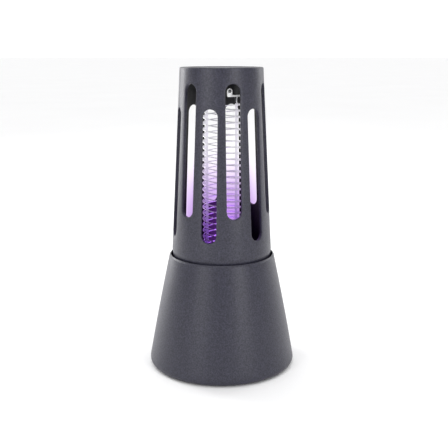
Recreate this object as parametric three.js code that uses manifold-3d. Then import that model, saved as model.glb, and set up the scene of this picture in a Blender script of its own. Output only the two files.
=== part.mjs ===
// Table-top electric bug zapper: a slotted guard tube standing in a conical base, round a coiled grid.
// Millimetres, +Z up, origin on the table under the middle of the base, front towards -Y.
import * as THREE from 'three';
import { mergeVertices } from 'three/addons/utils/BufferGeometryUtils.js';
import Module from 'manifold-3d';

const wasm = await Module();
wasm.setup();

// ---------------------------------------------------------------- driving dimensions

const TOTAL_HEIGHT = 200;
const ROUND_SEGMENTS = 48;
const GAP = 0.3; // clearance between neighbouring pieces

// Guard tube: a cone frustum from the rim of the base to the top, with a straight foot below the rim.
const GUARD_TOP_RADIUS = 27;
const GUARD_RIM_RADIUS = 33.5;
const GUARD_WALL = 2.2;
const GUARD_FOOT_RADIUS = 32.9;
const GUARD_FOOT_Z = 61;
const GUARD_EDGE = 1;

// Slots: twelve, every 30 degrees, in a high row and a low row of the same length.
const SLOT_WIDTH = 9.8;
const SLOT_LENGTH = 84.4;
const LOW_SLOT_Z = 90.4;
const HIGH_SLOT_Z = 105.8;
const SLOT_STEP = THREE.MathUtils.degToRad(30);
// Rows from the front towards +X: true for a high slot. The first slot is half a step from the front.
const SLOT_IS_HIGH = [true, false, true, false, true, false, true, false, true, false, true, false];

// Base shell: a slightly bulging cone with a rounded foot and a thin rim round the guard tube.
const RIM_Z = 76.8;
const RIM_RADIUS = 35.1;
const RIM_INNER_RADIUS = 34.3;
const BASE_RADIUS = 50.1; // where the cone would meet the table
const BASE_WALL = 2.4;
const BASE_BULGE = 0.4;
const BASE_FOOT_ROUND = 4.2;
const SHELL_BOTTOM_Z = 0.5;

// Chamber floor: seats the guard's foot, the tray and the grid.
const FLOOR_Z = 57.5;
const FLOOR_THICKNESS = 3;
const FLOOR_RADIUS = 35.9;
const FUNNEL_OUTER_RADIUS = 30.2;
const FUNNEL_INNER_RADIUS = 26.3;
const FUNNEL_TOP_Z = 73;
const GRID_PLINTH_RADIUS = 14.1;
const GRID_PLINTH_Z = 66;

// Insect tray: a ring-shaped trough round the grid.
const TRAY_OUTER_RADIUS = 25.7;
const TRAY_INNER_RADIUS = 14.8;
const TRAY_WALL = 1.4;
const TRAY_Z = FLOOR_Z + FLOOR_THICKNESS + GAP;
const TRAY_HEIGHT = 8.4;

// Coiled grid: two wires wound as a double helix on four notched ribs between two hubs.
const GRID_RADIUS = 12.5;
const WIRE_RADIUS = 0.45;
const WIRE_PITCH = 8;
const WIRE_TURNS = 12;
const WIRE_TOP_Z = 177;
const WIRE_RISER_TOP_Z = 181.3;
const WIRE_TOP_ANGLE = THREE.MathUtils.degToRad(-40);
const WIRE_STEPS_PER_TURN = 16;
const RIB_INNER_RADIUS = 8.8;
const RIB_OUTER_RADIUS = 12.6;
const RIB_THICKNESS = 1.6;
const RIB_BOTTOM_Z = 75;
const RIB_TOP_Z = 186.5;
const RIB_NOTCH_RADIUS = 11.85;
const RIB_NOTCH_HEIGHT = 1.5;
const HUB_RADIUS = 13.2;
const BOTTOM_HUB_Z = GRID_PLINTH_Z + GAP;
const BOTTOM_HUB_TOP_Z = 79;
const TOP_HUB_Z = 182.2;
const TOP_HUB_TOP_Z = 195;
const LAMP_WELL_RADIUS = 7.9;

// Electronics in the base.
const BATTERY_RADIUS = 9.2;
const BATTERY_LENGTH = 65;
const BATTERY_Z = 16.4;
const BOARD_Z = 12;
const BOARD_THICKNESS = 1.6;
const PLATE_Z = 1.6;
const PLATE_THICKNESS = 2.4;
const PLATE_RADIUS = 44.5;
const FOOT_HEIGHT = 1.4;
const SCREW_CIRCLE_RADIUS = 41.8;
const BOSS_RADIUS = 3.8;
const BOSS_TOP_Z = 20;
const FOOT_CIRCLE_RADIUS = 33;

// Rear controls, one above the other on the wall of the base.
const REAR = Math.PI / 2;
const USB_Z = BOARD_Z + BOARD_THICKNESS + 2;
const USB_WIDTH = 9;
const USB_HEIGHT = 3.3;
const BUTTON_Z = 36;
const BUTTON_RADIUS = 5.5;
const BUTTON_PROUD = 1.6;
const INDICATOR_Z = 47;
const INDICATOR_RADIUS = 1.5;

// ---------------------------------------------------------------- materials

const paint = (color, roughness, metalness = 0) => (
  new THREE.MeshStandardMaterial({ color, roughness, metalness })
);
const charcoalPlastic = paint(0x46454e, 0.62);
const blackPlastic = paint(0x121216, 0.5);
const milkyPlastic = paint(0xe9e6f2, 0.35);
const gridSteel = paint(0xd8d8de, 0.25, 0.9);
const screwSteel = paint(0x8b8d92, 0.35, 0.9);
const trayPlastic = paint(0x2a2930, 0.55);
const boardGreen = paint(0x1f5a35, 0.5);
const lampYellow = paint(0xe8d890, 0.35);
const clearPlastic = paint(0xf2f0fa, 0.1);
const rubber = paint(0x17171a, 0.9);
const cellWrap = paint(0x2f6fb0, 0.4);
const coilWrap = paint(0xc9a23a, 0.5);
const capacitorBlue = paint(0x2b4a86, 0.4);
const redInsulation = paint(0xa02020, 0.5);
const shieldSteel = paint(0xb9bbc0, 0.3, 0.9);

// ---------------------------------------------------------------- helpers

// A closed mesh as a manifold solid: vertices are welded, and triangles that the weld closes are dropped.
function toSolid(geometry) {
  const bare = geometry.clone();
  bare.deleteAttribute('normal');
  bare.deleteAttribute('uv');
  const welded = mergeVertices(bare, 1e-4);
  const corners = welded.index.array;
  const kept = [];
  for (let i = 0; i < corners.length; i += 3) {
    const [a, b, c] = [corners[i], corners[i + 1], corners[i + 2]];
    if (a !== b && b !== c && c !== a) kept.push(a, b, c);
  }
  const mesh = new wasm.Mesh({
    numProp: 3,
    vertProperties: new Float32Array(welded.attributes.position.array),
    triVerts: new Uint32Array(kept),
  });
  return new wasm.Manifold(mesh);
}

function fromSolid(solid) {
  const mesh = solid.getMesh();
  const geometry = new THREE.BufferGeometry();
  geometry.setAttribute('position', new THREE.BufferAttribute(new Float32Array(mesh.vertProperties), 3));
  geometry.setIndex(new THREE.BufferAttribute(new Uint32Array(mesh.triVerts), 1));
  geometry.computeVertexNormals();
  return geometry;
}

// One geometry less a list of others.
function cut(geometry, cutters) {
  const solid = cutters.reduce((left, cutter) => left.subtract(toSolid(cutter)), toSolid(geometry));
  return fromSolid(solid);
}

// One geometry joined to a list of others.
function join(geometry, others) {
  const solid = others.reduce((sum, other) => sum.add(toSolid(other)), toSolid(geometry));
  return fromSolid(solid);
}

// A profile of [radius, z] turned about Z. It runs from the lower inside, outwards and up.
function turned(profile, segments = ROUND_SEGMENTS) {
  const points = profile.map(([radius, z]) => new THREE.Vector2(radius, z));
  return new THREE.LatheGeometry(points, segments).rotateX(Math.PI / 2);
}

// A ring-like profile, closed back to its first point.
const turnedRing = (profile, segments) => turned([...profile, profile[0]], segments);

// A plain cylinder along Z from z0 to z1.
function rod(radius, z0, z1, x = 0, y = 0, segments = 20) {
  return turned([[0, z0], [radius, z0], [radius, z1], [0, z1]], segments).translate(x, y, 0);
}

// A box by its size and the middle of its underside.
function block(width, depth, height, x, y, z) {
  return new THREE.BoxGeometry(width, depth, height).translate(x, y, z + height / 2);
}

function mesh(name, geometry, material) {
  const piece = new THREE.Mesh(geometry, material);
  piece.name = name;
  return piece;
}

function lerp(a, b, t) {
  return a + (b - a) * t;
}

// The guard tube's outer radius at a height above the rim.
function guardRadius(z) {
  return lerp(GUARD_RIM_RADIUS, GUARD_TOP_RADIUS, (z - RIM_Z) / (TOTAL_HEIGHT - RIM_Z));
}

// The base shell's outer radius at a height, less an inset.
function baseRadius(z, inset = 0) {
  const t = (z - SHELL_BOTTOM_Z) / (RIM_Z - SHELL_BOTTOM_Z);
  return lerp(BASE_RADIUS, RIM_RADIUS, t) + 4 * BASE_BULGE * t * (1 - t) - inset;
}

// ---------------------------------------------------------------- guard

function slotCutter(index) {
  const radius = SLOT_WIDTH / 2;
  const z0 = (SLOT_IS_HIGH[index] ? HIGH_SLOT_Z : LOW_SLOT_Z) + radius;
  const z1 = z0 + SLOT_LENGTH - SLOT_WIDTH;
  const outline = new THREE.Shape();
  outline.absarc(0, z0, radius, Math.PI, 2 * Math.PI, false);
  outline.absarc(0, z1, radius, 0, Math.PI, false);
  const reach = GUARD_RIM_RADIUS + 10;
  const slot = new THREE.ExtrudeGeometry(outline, { depth: reach, bevelEnabled: false, curveSegments: 5 });
  // The outline stands in X and Z. The cut runs from the axis towards the front, then turns to its place.
  return slot.rotateX(Math.PI / 2).rotateZ((index + 0.5) * SLOT_STEP);
}

function guardTube() {
  const foot = GUARD_FOOT_RADIUS;
  const top = TOTAL_HEIGHT;
  const capSeat = top - 2.4;
  const inner = (z) => guardRadius(z) - GUARD_WALL;
  const shell = turnedRing([
    [foot - GUARD_WALL, GUARD_FOOT_Z],
    [foot, GUARD_FOOT_Z],
    [foot, RIM_Z - 1.4],
    [GUARD_RIM_RADIUS, RIM_Z - 0.8],
    [guardRadius(top - GUARD_EDGE), top - GUARD_EDGE],
    [GUARD_TOP_RADIUS - 0.3, top - 0.3],
    [GUARD_TOP_RADIUS - GUARD_EDGE, top],
    [inner(top), top],
    [inner(top), capSeat],
    [inner(top) - 1.8, capSeat],
    [inner(top) - 1.8, capSeat - 1.2],
    [inner(capSeat - 3.4), capSeat - 3.4],
    [inner(RIM_Z), RIM_Z],
    [foot - GUARD_WALL, RIM_Z - 4],
  ]);
  return cut(shell, SLOT_IS_HIGH.map((_, index) => slotCutter(index)));
}

// The lid drops into the head of the tube. A collar under it keeps it centred on the ledge.
function topCap() {
  const lid = GUARD_TOP_RADIUS - GUARD_WALL - GAP;
  const under = TOTAL_HEIGHT - 2.4 + GAP;
  const collar = lid - 2.1;
  return turned([
    [0, under],
    [collar - 1.5, under],
    [collar - 1.5, under - 1.6],
    [collar, under - 1.6],
    [collar, under],
    [lid, under],
    [lid, TOTAL_HEIGHT - 0.4],
    [lid - 0.4, TOTAL_HEIGHT],
    [0, TOTAL_HEIGHT],
  ], 36);
}

// ---------------------------------------------------------------- grid

// A wire laid out flat as distance round the coil against height, then wrapped on the coil's cylinder.
// It climbs clockwise, ends in a short bend, and rises straight to its clip.
class WoundWire extends THREE.Curve {
  constructor(topAngle) {
    super();
    const length = WIRE_TURNS * 2 * Math.PI * GRID_RADIUS;
    const bend = 2;
    this.topAngle = topAngle;
    this.flat = new THREE.Path();
    this.flat.moveTo(-length, WIRE_TOP_Z - WIRE_TURNS * WIRE_PITCH);
    this.flat.lineTo(-bend, WIRE_TOP_Z);
    this.flat.quadraticCurveTo(0, WIRE_TOP_Z + 0.2, 0, WIRE_TOP_Z + bend);
    this.flat.lineTo(0, WIRE_RISER_TOP_Z);
  }

  getPoint(t, target = new THREE.Vector3()) {
    const point = this.flat.getPoint(t);
    const angle = this.topAngle - point.x / GRID_RADIUS;
    return target.set(GRID_RADIUS * Math.cos(angle), GRID_RADIUS * Math.sin(angle), point.y);
  }
}

// A bar swept along a curve, with two sides for each section step.
function swept(curve, radius, steps, sectionSteps) {
  const section = new THREE.Shape().absarc(0, 0, radius, 0, 2 * Math.PI, false);
  return new THREE.ExtrudeGeometry(section, {
    extrudePath: curve, steps, curveSegments: sectionSteps, bevelEnabled: false,
  });
}

function gridWire(topAngle) {
  const steps = Math.round((WIRE_TURNS + 0.25) * WIRE_STEPS_PER_TURN);
  return swept(new WoundWire(topAngle), WIRE_RADIUS, steps, 2);
}

// Heights at which the two wires pass a rib.
function notchHeights(ribAngle) {
  const halfPitch = WIRE_PITCH / 2;
  const turn = THREE.MathUtils.euclideanModulo(ribAngle - WIRE_TOP_ANGLE, Math.PI) / Math.PI;
  const count = 2 * WIRE_TURNS;
  const heights = [];
  for (let m = 0; m + turn < count + 0.5; m += 1) heights.unshift(WIRE_TOP_Z - halfPitch * (turn + m));
  return heights;
}

// A flat rib standing on edge, with a notch for each wire that crosses it.
function gridRib(angle) {
  const outline = new THREE.Shape();
  outline.moveTo(RIB_INNER_RADIUS, RIB_BOTTOM_Z);
  outline.lineTo(RIB_OUTER_RADIUS, RIB_BOTTOM_Z);
  for (const z of notchHeights(angle)) {
    outline.lineTo(RIB_OUTER_RADIUS, z - RIB_NOTCH_HEIGHT / 2);
    outline.lineTo(RIB_NOTCH_RADIUS, z - RIB_NOTCH_HEIGHT / 2);
    outline.lineTo(RIB_NOTCH_RADIUS, z + RIB_NOTCH_HEIGHT / 2);
    outline.lineTo(RIB_OUTER_RADIUS, z + RIB_NOTCH_HEIGHT / 2);
  }
  outline.lineTo(RIB_OUTER_RADIUS, RIB_TOP_Z);
  outline.lineTo(RIB_INNER_RADIUS, RIB_TOP_Z);
  const rib = new THREE.ExtrudeGeometry(outline, { depth: RIB_THICKNESS, bevelEnabled: false });
  return rib.translate(0, 0, -RIB_THICKNESS / 2).rotateX(Math.PI / 2).rotateZ(angle);
}

const RIB_ANGLES = { front: -Math.PI / 2, right: 0, back: Math.PI / 2, left: Math.PI };

// Pockets in a hub that the rib ends stand in.
function ribPockets(z0, z1) {
  const depth = RIB_OUTER_RADIUS - RIB_INNER_RADIUS + 2 * GAP;
  const middle = (RIB_OUTER_RADIUS + RIB_INNER_RADIUS) / 2;
  const width = RIB_THICKNESS + 2 * GAP;
  const pocket = () => block(depth, width, z1 - z0, middle, 0, z0);
  return Object.values(RIB_ANGLES).map((angle) => pocket().rotateZ(angle));
}

const LEAD_RADIUS = 0.8;
const LEAD_ANGLES = [WIRE_TOP_ANGLE, WIRE_TOP_ANGLE + Math.PI];
const LEAD_CIRCLE_RADIUS = 11;

// Bores for the high-voltage leads, on their way up to the wires.
function leadBores(z0, z1) {
  return LEAD_ANGLES.map((angle) => {
    const [x, y] = onCircle(LEAD_CIRCLE_RADIUS, angle);
    return rod(LEAD_RADIUS + GAP, z0, z1, x, y, 12);
  });
}

function bottomHub() {
  const seat = BOTTOM_HUB_Z + 4;
  const hub = turned([
    [0, BOTTOM_HUB_Z],
    [HUB_RADIUS, BOTTOM_HUB_Z],
    [HUB_RADIUS, BOTTOM_HUB_TOP_Z],
    [LAMP_WELL_RADIUS, BOTTOM_HUB_TOP_Z],
    [LAMP_WELL_RADIUS, seat],
    [0, seat],
  ]);
  const pockets = ribPockets(RIB_BOTTOM_Z - GAP, BOTTOM_HUB_TOP_Z + 1);
  return cut(hub, [...pockets, ...leadBores(BOTTOM_HUB_Z - 1, BOTTOM_HUB_TOP_Z + 1)]);
}

function topHub() {
  const hub = turned([
    [0, TOP_HUB_Z],
    [HUB_RADIUS, TOP_HUB_Z],
    [HUB_RADIUS, TOP_HUB_TOP_Z - 1],
    [HUB_RADIUS - 1, TOP_HUB_TOP_Z],
    [0, TOP_HUB_TOP_Z],
  ]);
  return cut(hub, ribPockets(TOP_HUB_Z - 1, RIB_TOP_Z + GAP));
}

const CLIP_INNER_RADIUS = HUB_RADIUS + 0.15;
const CLIP_THICKNESS = 0.6;
const CLIP_HEIGHT = 1.2;
const CLIP_Z = WIRE_RISER_TOP_Z + GAP;
const CLIP_SPAN = THREE.MathUtils.degToRad(54);
const EYELET_WIDTH = 3.6;
const EYELET_Z = 185.2;
const EYELET_HOLE_RADIUS = 0.9;
const EYELET_ANGLE = WIRE_TOP_ANGLE - THREE.MathUtils.degToRad(28);

// A strip bent round the hub's lower edge, with an eyelet that stands up from its end.
function terminalClip() {
  const outer = CLIP_INNER_RADIUS + CLIP_THICKNESS;
  const start = EYELET_ANGLE - 0.1;
  const band = new THREE.Shape();
  band.absarc(0, 0, outer, start, start + CLIP_SPAN, false);
  band.absarc(0, 0, CLIP_INNER_RADIUS, start + CLIP_SPAN, start, true);
  const stripShape = { depth: CLIP_HEIGHT, bevelEnabled: false, curveSegments: 10 };
  const strip = new THREE.ExtrudeGeometry(band, stripShape);
  strip.translate(0, 0, CLIP_Z);

  const radius = EYELET_WIDTH / 2;
  const tab = new THREE.Shape();
  tab.moveTo(-radius, CLIP_Z);
  tab.lineTo(radius, CLIP_Z);
  tab.lineTo(radius, EYELET_Z);
  tab.absarc(0, EYELET_Z, radius, 0, Math.PI, false);
  const hole = new THREE.Path().absarc(0, EYELET_Z, EYELET_HOLE_RADIUS + GAP, 0, 2 * Math.PI, true);
  tab.holes.push(hole);
  const eyeletShape = { depth: CLIP_THICKNESS, bevelEnabled: false, curveSegments: 8 };
  const eyelet = new THREE.ExtrudeGeometry(tab, eyeletShape);
  // The eyelet stands on edge against the hub, facing outwards.
  eyelet.rotateX(Math.PI / 2).translate(0, -CLIP_INNER_RADIUS, 0).rotateZ(EYELET_ANGLE + Math.PI / 2);
  return join(strip, [eyelet]);
}

// A flush screw in the eyelet's hole.
function terminalScrew() {
  const screw = rod(EYELET_HOLE_RADIUS, 0, CLIP_THICKNESS + 0.1, 0, 0, 12);
  const out = CLIP_INNER_RADIUS;
  return screw.rotateX(Math.PI / 2).translate(0, -out, EYELET_Z).rotateZ(EYELET_ANGLE + Math.PI / 2);
}

// ---------------------------------------------------------------- lamp

const LED_BOARD_Z = BOTTOM_HUB_Z + 4 + GAP;
const LED_BOARD_RADIUS = LAMP_WELL_RADIUS - GAP;
const LED_CIRCLE_RADIUS = 5;
const LED_COUNT = 6;

function ledBoard() {
  return rod(LED_BOARD_RADIUS, LED_BOARD_Z, LED_BOARD_Z + 1.6, 0, 0, 32);
}

function uvLed(index) {
  const led = block(3.4, 2.8, 1.6, LED_CIRCLE_RADIUS, 0, LED_BOARD_Z + 1.6 + 0.05);
  return led.rotateZ((index * 2 * Math.PI) / LED_COUNT);
}

function ledLens() {
  const radius = LED_BOARD_RADIUS;
  const under = LED_BOARD_Z + 4;
  return turned([
    [0, under + 0.6],
    [radius - 2, under],
    [radius, under],
    [radius, under + 1.2],
    [radius - 2.4, under + 2.2],
    [0, under + 2.6],
  ], 32);
}

// ---------------------------------------------------------------- tray and chamber floor

function insectTray() {
  const top = TRAY_Z + TRAY_HEIGHT;
  const floor = TRAY_Z + TRAY_WALL;
  return turnedRing([
    [TRAY_INNER_RADIUS, TRAY_Z],
    [TRAY_OUTER_RADIUS, TRAY_Z],
    [TRAY_OUTER_RADIUS, top],
    [TRAY_OUTER_RADIUS - TRAY_WALL, top],
    [TRAY_OUTER_RADIUS - TRAY_WALL, floor],
    [TRAY_INNER_RADIUS + TRAY_WALL, floor],
    [TRAY_INNER_RADIUS + TRAY_WALL, top],
    [TRAY_INNER_RADIUS, top],
  ], 36);
}

function chamberFloor() {
  const deck = FLOOR_Z + FLOOR_THICKNESS;
  const wall = FUNNEL_OUTER_RADIUS - 1.4;
  const funnel = turned([
    [0, FLOOR_Z],
    [FLOOR_RADIUS, FLOOR_Z],
    [FLOOR_RADIUS, deck],
    [FUNNEL_OUTER_RADIUS, deck],
    [FUNNEL_OUTER_RADIUS, FUNNEL_TOP_Z],
    [FUNNEL_INNER_RADIUS, FUNNEL_TOP_Z - 2],
    [FUNNEL_INNER_RADIUS, FUNNEL_TOP_Z - 3.2],
    [wall, FUNNEL_TOP_Z - 2.4],
    [wall, deck],
    [GRID_PLINTH_RADIUS, deck],
    [GRID_PLINTH_RADIUS, GRID_PLINTH_Z],
    [0, GRID_PLINTH_Z],
  ]);
  return cut(funnel, leadBores(FLOOR_Z - 1, GRID_PLINTH_Z + 1));
}

// ---------------------------------------------------------------- base

// A rear control's own frame: Z points straight out of the base's wall at that height.
function rearFrame(z) {
  const step = 1;
  const slope = Math.atan2(baseRadius(z - step) - baseRadius(z + step), 2 * step);
  const frame = new THREE.Matrix4().makeRotationZ(REAR);
  frame.multiply(new THREE.Matrix4().makeTranslation(baseRadius(z), 0, z));
  frame.multiply(new THREE.Matrix4().makeRotationY(Math.PI / 2 - slope));
  return frame;
}

const atRear = (geometry, z) => geometry.applyMatrix4(rearFrame(z));

function roundedRectangle(width, height, radius) {
  const [x, y] = [width / 2 - radius, height / 2 - radius];
  const outline = new THREE.Shape();
  outline.absarc(x, y, radius, 0, Math.PI / 2, false);
  outline.absarc(-x, y, radius, Math.PI / 2, Math.PI, false);
  outline.absarc(-x, -y, radius, Math.PI, 1.5 * Math.PI, false);
  outline.absarc(x, -y, radius, 1.5 * Math.PI, 2 * Math.PI, false);
  return outline;
}

// A rounded bar along +Y from y0 to y1, its middle at height z.
function rearBar(width, height, radius, y0, y1, z) {
  const bar = new THREE.ExtrudeGeometry(roundedRectangle(width, height, radius), {
    depth: y1 - y0, bevelEnabled: false, curveSegments: 4,
  });
  return bar.rotateX(-Math.PI / 2).translate(0, y0, z);
}

const SCREW_ANGLES = [1, 3, 5, 7].map((k) => (k * Math.PI) / 4);
const onCircle = (radius, angle) => [radius * Math.cos(angle), radius * Math.sin(angle)];

function baseShell() {
  const outside = [];
  const roundSteps = 4;
  for (let i = 0; i <= roundSteps; i += 1) {
    const angle = (i / roundSteps) * (Math.PI / 2);
    const drop = BASE_FOOT_ROUND * (1 - Math.sin(angle));
    const z = SHELL_BOTTOM_Z + BASE_FOOT_ROUND - BASE_FOOT_ROUND * Math.cos(angle);
    outside.push([baseRadius(z) - drop, z]);
  }
  const coneSteps = 5;
  for (let i = 1; i <= coneSteps; i += 1) {
    const z = lerp(SHELL_BOTTOM_Z + BASE_FOOT_ROUND, RIM_Z - 0.6, i / coneSteps);
    outside.push([baseRadius(z), z]);
  }
  const rimTop = [[RIM_RADIUS - 0.25, RIM_Z], [RIM_INNER_RADIUS, RIM_Z]];
  const underRim = RIM_Z - 5;
  const inside = [];
  for (let i = 0; i <= coneSteps; i += 1) {
    const z = lerp(underRim, PLATE_Z - 0.1, i / coneSteps);
    inside.push([Math.min(baseRadius(z, BASE_WALL), baseRadius(PLATE_Z + 4, BASE_WALL)), z]);
  }
  const lip = [[RIM_INNER_RADIUS, underRim + 2]];
  const foot = [[BASE_RADIUS - BASE_FOOT_ROUND - 1, SHELL_BOTTOM_Z]];
  const shell = turnedRing([...foot, ...outside, ...rimTop, ...lip, ...inside]);

  const bosses = SCREW_ANGLES.map((angle) => rod(
    BOSS_RADIUS, PLATE_Z + PLATE_THICKNESS + GAP, BOSS_TOP_Z, ...onCircle(SCREW_CIRCLE_RADIUS, angle), 16,
  ));
  const pilots = SCREW_ANGLES.map((angle) => rod(
    1.6, 0, 13, ...onCircle(SCREW_CIRCLE_RADIUS, angle), 12,
  ));
  const usbHole = rearBar(USB_WIDTH + 2 * GAP, USB_HEIGHT + 2 * GAP, 1.8, 30, 60, USB_Z);
  const buttonHole = atRear(rod(BUTTON_RADIUS + GAP, -8, 8, 0, 0, 24), BUTTON_Z);
  const indicatorHole = atRear(rod(INDICATOR_RADIUS + 0.2, -8, 8, 0, 0, 12), INDICATOR_Z);
  return cut(join(shell, bosses), [...pilots, usbHole, buttonHole, indicatorHole]);
}

const SCREW_SHANK_RADIUS = 1.3;
const SCREW_HEAD_RADIUS = 2.6;
const SCREW_TIP_Z = 12;

function basePlate() {
  const top = PLATE_Z + PLATE_THICKNESS;
  const plate = turned([[0, PLATE_Z], [PLATE_RADIUS, PLATE_Z], [PLATE_RADIUS, top], [0, top]]);
  const holes = SCREW_ANGLES.flatMap((angle) => {
    const [x, y] = onCircle(SCREW_CIRCLE_RADIUS, angle);
    return [rod(SCREW_SHANK_RADIUS + GAP, 0, top + 1, x, y, 12)];
  });
  return cut(plate, holes);
}

function baseScrew(angle) {
  const [x, y] = onCircle(SCREW_CIRCLE_RADIUS, angle);
  const seat = PLATE_Z - 0.05;
  const screw = turned([
    [0, seat - 1.3],
    [SCREW_HEAD_RADIUS - 0.4, seat - 1.3],
    [SCREW_HEAD_RADIUS, seat - 0.7],
    [SCREW_HEAD_RADIUS, seat],
    [SCREW_SHANK_RADIUS, seat],
    [SCREW_SHANK_RADIUS, SCREW_TIP_Z - 1],
    [0, SCREW_TIP_Z],
  ], 12);
  return screw.translate(x, y, 0);
}

function rubberFoot(angle) {
  const [x, y] = onCircle(FOOT_CIRCLE_RADIUS, angle);
  const top = FOOT_HEIGHT + 0.15;
  return turned([[0, 0], [4.4, 0], [5, 0.5], [5, top], [0, top]], 20).translate(x, y, 0);
}

// ---------------------------------------------------------------- electronics

function batteryCell() {
  const half = BATTERY_LENGTH / 2;
  const tip = half - 0.8;
  const cell = turned([
    [0, -half], [BATTERY_RADIUS - 0.4, -half], [BATTERY_RADIUS, -half + 0.4],
    [BATTERY_RADIUS, tip - 0.4], [BATTERY_RADIUS - 0.4, tip], [3, tip], [3, half], [0, half],
  ], 24);
  return cell.rotateY(Math.PI / 2).translate(0, 0, BATTERY_Z);
}

// A cradle with a round bed and two end walls.
function batteryHolder() {
  const length = BATTERY_LENGTH + 6;
  const z0 = PLATE_Z + PLATE_THICKNESS + GAP;
  const body = block(length, 2 * BATTERY_RADIUS + 2.4, BATTERY_Z + 1 - z0, 0, 0, z0);
  const bed = rod(BATTERY_RADIUS + GAP, -BATTERY_LENGTH / 2 - GAP, BATTERY_LENGTH / 2 + GAP, 0, 0, 24)
    .rotateY(Math.PI / 2).translate(0, 0, BATTERY_Z);
  const mouth = block(BATTERY_LENGTH + 2 * GAP, 2 * (BATTERY_RADIUS + GAP), 10, 0, 0, BATTERY_Z);
  return cut(body, [bed, mouth]);
}

const REAR_BOARD = { width: 34, depth: 24, y: 28.5 };
const FRONT_BOARD = { width: 42, depth: 21, y: -24 };
const boardTop = BOARD_Z + BOARD_THICKNESS;

const circuitBoard = ({ width, depth, y }) => block(width, depth, BOARD_THICKNESS, 0, y, BOARD_Z);

function hvTransformer() {
  const core = block(16, 14, 13, -10, FRONT_BOARD.y, boardTop + 0.1);
  const window = block(20, 9, 8, -10, FRONT_BOARD.y, boardTop + 2.6);
  const winding = block(9, 12.4, 9, -10, FRONT_BOARD.y, boardTop + 2.1);
  return join(cut(core, [window]), [winding]);
}

function hvCapacitor(index) {
  return rod(3.6, boardTop + 0.1, boardTop + 11, 3 + 8 * index, FRONT_BOARD.y - 2, 16);
}

// A steel shell with an open mouth and a tongue inside it.
function usbPort() {
  const y1 = baseRadius(USB_Z) - 1;
  const y0 = y1 - 9;
  const shell = rearBar(USB_WIDTH, USB_HEIGHT, 1.5, y0, y1, USB_Z);
  const mouth = rearBar(USB_WIDTH - 0.8, USB_HEIGHT - 0.8, 1.2, y0 + 2, y1 + 1, USB_Z);
  const tongue = block(6.4, 6, 0.7, 0, y0 + 4.5, USB_Z - 0.35);
  return join(cut(shell, [mouth]), [tongue]);
}

function powerButton() {
  const button = turned([
    [0, -BASE_WALL - 1.6],
    [BUTTON_RADIUS + 1, -BASE_WALL - 1.6],
    [BUTTON_RADIUS + 1, -BASE_WALL - 0.6],
    [BUTTON_RADIUS, -BASE_WALL - 0.6],
    [BUTTON_RADIUS, BUTTON_PROUD - 0.6],
    [BUTTON_RADIUS - 0.6, BUTTON_PROUD],
    [0, BUTTON_PROUD - 0.3],
  ], 28);
  return atRear(button, BUTTON_Z);
}

// A square push switch behind the button.
function switchBody() {
  const front = -BASE_WALL - 4.2;
  const box = block(12, 12, 8, 0, 0, front - 8);
  return atRear(box, BUTTON_Z);
}

function indicatorLens() {
  const lens = turned([
    [0, -4.4], [INDICATOR_RADIUS, -4.4], [INDICATOR_RADIUS, 0.1], [INDICATOR_RADIUS - 0.5, 0.4], [0, 0.5],
  ], 12);
  return atRear(lens, INDICATOR_Z);
}

// A lead from the high-voltage board up through the chamber floor and the hub to the foot of a wire.
function hvLead(index) {
  const angle = LEAD_ANGLES[index];
  const [x, y] = onCircle(LEAD_CIRCLE_RADIUS, angle);
  const startX = index === 0 ? 18 : -16;
  const points = [
    [startX, FRONT_BOARD.y + 8.5, boardTop + LEAD_RADIUS + 0.4],
    [startX, FRONT_BOARD.y + 8.5, boardTop + 8],
    [lerp(startX, x, 0.6), lerp(FRONT_BOARD.y + 8.5, y, 0.6), 36],
    [x, y, 45],
    [x, y, 53],
    [x, y, BOTTOM_HUB_TOP_Z + 0.2],
  ].map((p) => new THREE.Vector3(...p));
  return swept(new THREE.CatmullRomCurve3(points, false, 'centripetal'), LEAD_RADIUS, 20, 3);
}

// ---------------------------------------------------------------- assembly

const zapper = new THREE.Group();
const add = (name, geometry, material) => zapper.add(mesh(name, geometry, material));

add('guard_tube', guardTube(), charcoalPlastic);
add('top_cap', topCap(), charcoalPlastic);

add('grid_top_hub', topHub(), blackPlastic);
add('grid_bottom_hub', bottomHub(), blackPlastic);
for (const [side, angle] of Object.entries(RIB_ANGLES)) {
  add(`grid_rib_${side}`, gridRib(angle), milkyPlastic);
}
for (const side of [0, 1]) {
  const turn = side * Math.PI;
  add(`grid_wire_${side + 1}`, gridWire(WIRE_TOP_ANGLE + turn), gridSteel);
  add(`terminal_clip_${side + 1}`, terminalClip().rotateZ(turn), gridSteel);
  add(`terminal_screw_${side + 1}`, terminalScrew().rotateZ(turn), screwSteel);
}

add('led_board', ledBoard(), boardGreen);
for (let i = 0; i < LED_COUNT; i += 1) add(`uv_led_${i + 1}`, uvLed(i), lampYellow);
add('led_lens', ledLens(), clearPlastic);

add('insect_tray', insectTray(), trayPlastic);
add('chamber_floor', chamberFloor(), blackPlastic);

add('base_shell', baseShell(), charcoalPlastic);
add('base_plate', basePlate(), blackPlastic);
SCREW_ANGLES.forEach((angle, i) => add(`base_screw_${i + 1}`, baseScrew(angle), screwSteel));
SCREW_ANGLES.forEach((angle, i) => add(`rubber_foot_${i + 1}`, rubberFoot(angle), rubber));

add('battery_cell', batteryCell(), cellWrap);
add('battery_holder', batteryHolder(), blackPlastic);
add('control_board', circuitBoard(REAR_BOARD), boardGreen);
add('hv_board', circuitBoard(FRONT_BOARD), boardGreen);
add('hv_transformer', hvTransformer(), coilWrap);
for (let i = 0; i < 3; i += 1) add(`hv_capacitor_${i + 1}`, hvCapacitor(i), capacitorBlue);
for (let i = 0; i < 2; i += 1) add(`hv_lead_${i + 1}`, hvLead(i), redInsulation);
add('usb_port', usbPort(), shieldSteel);
add('power_button', powerButton(), blackPlastic);
add('switch_body', switchBody(), blackPlastic);
add('indicator_lens', indicatorLens(), clearPlastic);

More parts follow.
